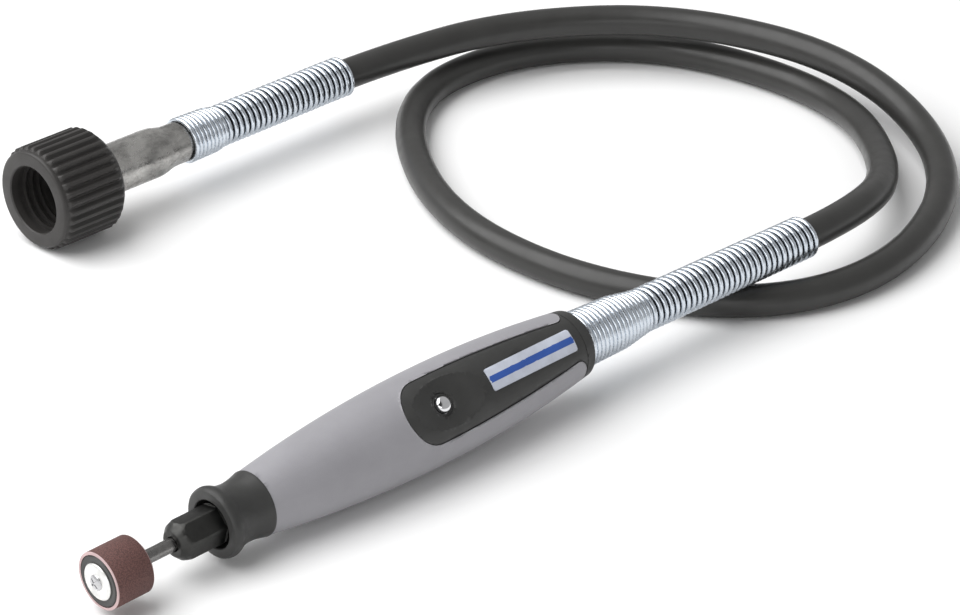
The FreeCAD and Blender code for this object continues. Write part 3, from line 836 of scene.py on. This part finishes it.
def guard_turns(start, end, root, step, open_radius, closed, cone):
    """Distance and wire-centre radius at each step: close, cone and open turns."""
    wire = sizes().wire
    close_pitch = wire * CLOSE_PITCH
    places = []
    open_start = start + wire / 2 + (closed + cone) * close_pitch
    open_turns = round((end - wire / 2 - open_start) / (wire * OPEN_PITCH))
    open_pitch = (end - wire / 2 - open_start) / open_turns
    for k in range((closed + cone) * WIRE_STEPS):
        wound = k / WIRE_STEPS
        outer = root + (step - root) * min(1.0, wound / closed)
        outer += (open_radius - step) * max(0.0, wound - closed) / cone
        places.append((start + wire / 2 + wound * close_pitch, outer - wire / 2))
    for k in range(open_turns * WIRE_STEPS + 1):
        places.append((open_start + k / WIRE_STEPS * open_pitch, open_radius - wire / 2))
    return places


def along(path, place, stations):
    """How far along a path a guard starts and ends."""
    ahead = (path[1] - path[0]).normalized()
    start = (place @ Vector((stations[0] * MM, 0, 0)) - path[0]).dot(ahead)
    return start, start + (stations[1] - stations[0]) * MM


class FLEX_OT_guard_springs(bpy.types.Operator):
    """Wind the guard springs round the sheath at both ends"""
    bl_idname = "flex.guard_springs"
    bl_label = "Guard springs"

    def execute(self, context):
        s = sizes()
        path = centre_line()
        start, end = along(path, HAND, REAR_GUARD)
        turns = guard_turns(start, end, s.rear_root, s.rear_step, s.rear_open, s.rear_close,
                            s.rear_cone)
        rear = wound_wire("rear_guard", path, turns)
        paint(rear, FINISH["zinc"])
        hand_over(rear, "handpiece", "rear_guard_spring")

        path.reverse()
        start, end = along(path, DRIVE, DRIVE_GUARD)
        turns = guard_turns(start, end, s.drive_root, s.drive_step, s.drive_open, s.drive_close,
                            s.drive_cone)
        drive = wound_wire("drive_guard", path, turns)
        paint(drive, FINISH["zinc"])
        hand_over(drive, "handpiece", "drive_guard_spring")
        return {"FINISHED"}


class FLEX_OT_finish_cad(bpy.types.Operator):
    """Give each piece that stays as designed its finish"""
    bl_idname = "flex.finish_cad"
    bl_label = "Finish inner parts"

    def execute(self, context):
        for node, finish in CAD_FINISH.items():
            inner = frame["nodes"][node]
            paint(inner, FINISH[finish])
        return {"FINISHED"}


def area_light(name, place, aim, size, power):
    data = bpy.data.lights.new(name, "AREA")
    data.shape = "RECTANGLE"
    data.size, data.size_y = size
    data.energy = power
    light = bpy.data.objects.new(name, data)
    light.location = place
    light.rotation_euler = (Vector(aim) - Vector(place)).to_track_quat("-Z", "Y").to_euler()
    bpy.context.scene.collection.objects.link(light)
    return light


def surround(tree, dim, bright):
    """An even soft sky with one dim patch, high on the side that the tool faces."""
    coords = tree.nodes.new("ShaderNodeTexCoord")
    toward = tree.nodes.new("ShaderNodeVectorMath")
    toward.operation = "DOT_PRODUCT"
    toward.inputs[1].default_value = DIM_PATCH
    ramp = tree.nodes.new("ShaderNodeMapRange")
    ramp.interpolation_type = "SMOOTHSTEP"
    ramp.inputs["From Min"].default_value = 0.8
    ramp.inputs["From Max"].default_value = 0.97
    ramp.inputs["To Min"].default_value = bright
    ramp.inputs["To Max"].default_value = dim
    tree.links.new(coords.outputs["Generated"], toward.inputs[0])
    tree.links.new(toward.outputs["Value"], ramp.inputs["Value"])
    tree.links.new(ramp.outputs["Result"], tree.nodes["Background"].inputs["Strength"])


class FLEX_OT_stage(bpy.types.Operator):
    """Pale floor, soft boxes and an even white surround"""
    bl_idname = "flex.stage"
    bl_label = "Stage"

    def execute(self, context):
        clear_selection()
        bpy.ops.mesh.primitive_plane_add(size=8.0, location=(0, 0, -0.00005))
        floor = named("floor")
        nodes = Nodes("white_sweep", (0.93, 0.93, 0.93), 0.9)
        paint(floor, nodes.material)
        world = bpy.data.worlds.new("surround")
        context.scene.world = world
        world.use_nodes = True
        world.node_tree.nodes["Background"].inputs["Color"].default_value = (1, 1, 1, 1)
        surround(world.node_tree, 0.05, 0.45)
        area_light("key", (-0.5, 0.5, 1.0), (0.03, 0.05, 0), (1.7, 1.4), 24)
        area_light("fill", (-1.0, -0.75, 0.4), (0.03, 0.05, 0), (1.2, 0.5), 3)
        context.scene.view_settings.view_transform = "Standard"
        return {"FINISHED"}


STEPS = [FLEX_OT_camera, FLEX_OT_drum, FLEX_OT_collar, FLEX_OT_handle, FLEX_OT_coupling_nut,
         FLEX_OT_ferrule, FLEX_OT_guard_springs, FLEX_OT_sheath, FLEX_OT_finish_cad,
         FLEX_OT_stage]


class FLEX_PT_panel(bpy.types.Panel):
    """Lists the steps that build the handpiece and its shaft"""
    bl_idname = "FLEX_PT_panel"
    bl_label = "Flex Shaft"
    bl_space_type = "VIEW_3D"
    bl_region_type = "UI"
    bl_category = "Flex Shaft"

    def draw(self, context):
        for step in STEPS:
            self.layout.operator(step.bl_idname)


CLASSES = [FlexSizes, FlexColours] + STEPS + [FLEX_PT_panel]


def register():
    for each in CLASSES:
        bpy.utils.register_class(each)
    bpy.types.Scene.flex_sizes = PointerProperty(type=FlexSizes)
    bpy.types.Scene.flex_colours = PointerProperty(type=FlexColours)


def unregister():
    del bpy.types.Scene.flex_colours
    del bpy.types.Scene.flex_sizes
    for each in reversed(CLASSES):
        bpy.utils.unregister_class(each)


def main():
    register()
    make_finishes()
    for step in STEPS:
        area, name = step.bl_idname.split(".")
        getattr(getattr(bpy.ops, area), name)()


if __name__ == "__main__":
    main()
